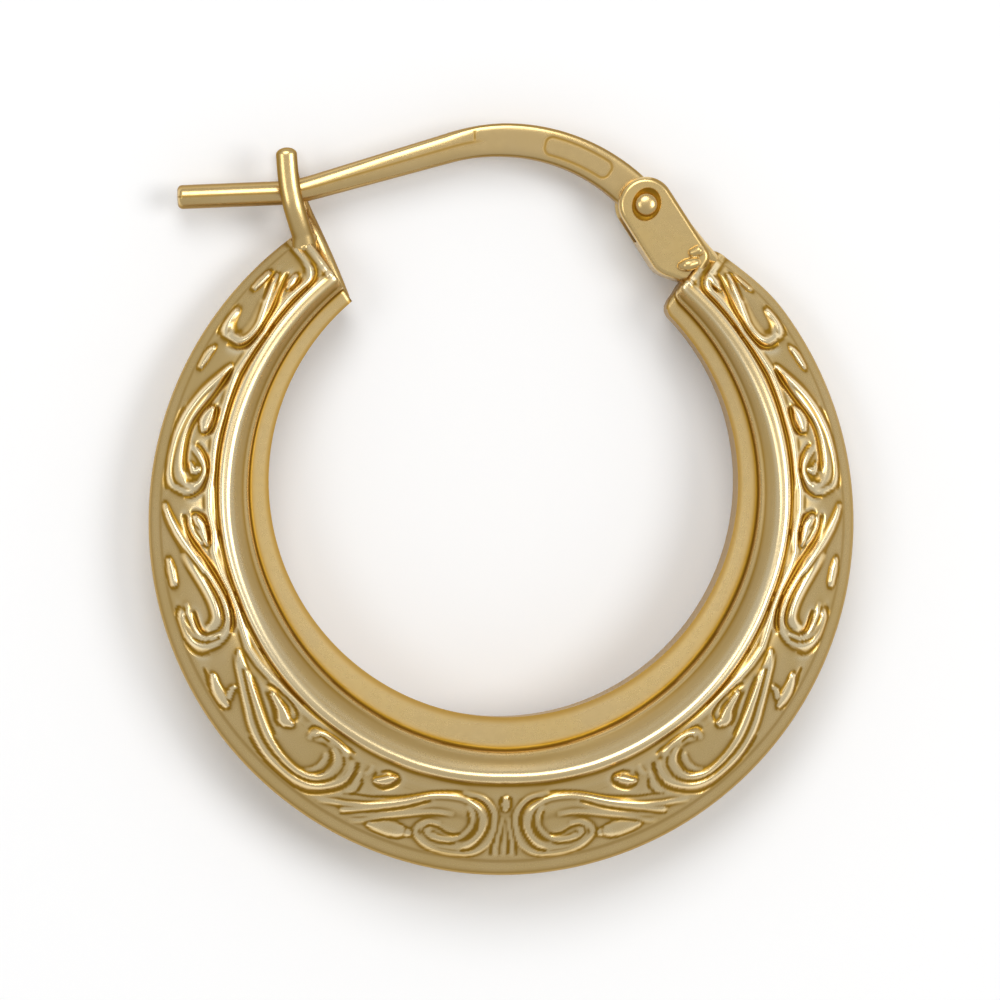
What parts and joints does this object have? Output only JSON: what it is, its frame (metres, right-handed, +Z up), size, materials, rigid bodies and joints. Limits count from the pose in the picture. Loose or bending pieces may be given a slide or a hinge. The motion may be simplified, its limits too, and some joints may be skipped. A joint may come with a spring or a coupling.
{
  "type": "creole hoop earring",
  "caption": "Open crescent hoop earring with raised scrollwork on both faces, a riveted hinged ear wire and a forked catch for its post.",
  "frame": {"origin": "middle of the footprint, on the surface that the earring lies on", "axes": "+Z up, square to the table; +Y towards the ear wire; +X towards the hinge; the hoop lies on the bead of its lower face, which tilts its mid plane by 3.4 degrees about X"},
  "size_m": [0.02, 0.0212, 0.0038],
  "materials": {
    "polished_gold": "polished yellow gold with dark tone in the grooves of the relief",
    "wire_gold": "polished yellow gold wire with fine wear marks"
  },
  "bodies": {
    "hoop": {"hoop": "polished_gold", "rivet": "wire_gold"},
    "ear_wire": {"ear_wire": "wire_gold"}
  },
  "joints": [
    {"name": "wire_hinge", "type": "hinge", "parent": "hoop", "child": "ear_wire", "pos_m": [0.00405, 0.00832, 0.00093], "axis": [0, -0.0599, -0.9982], "range_deg": [0, 80]}
  ]
}
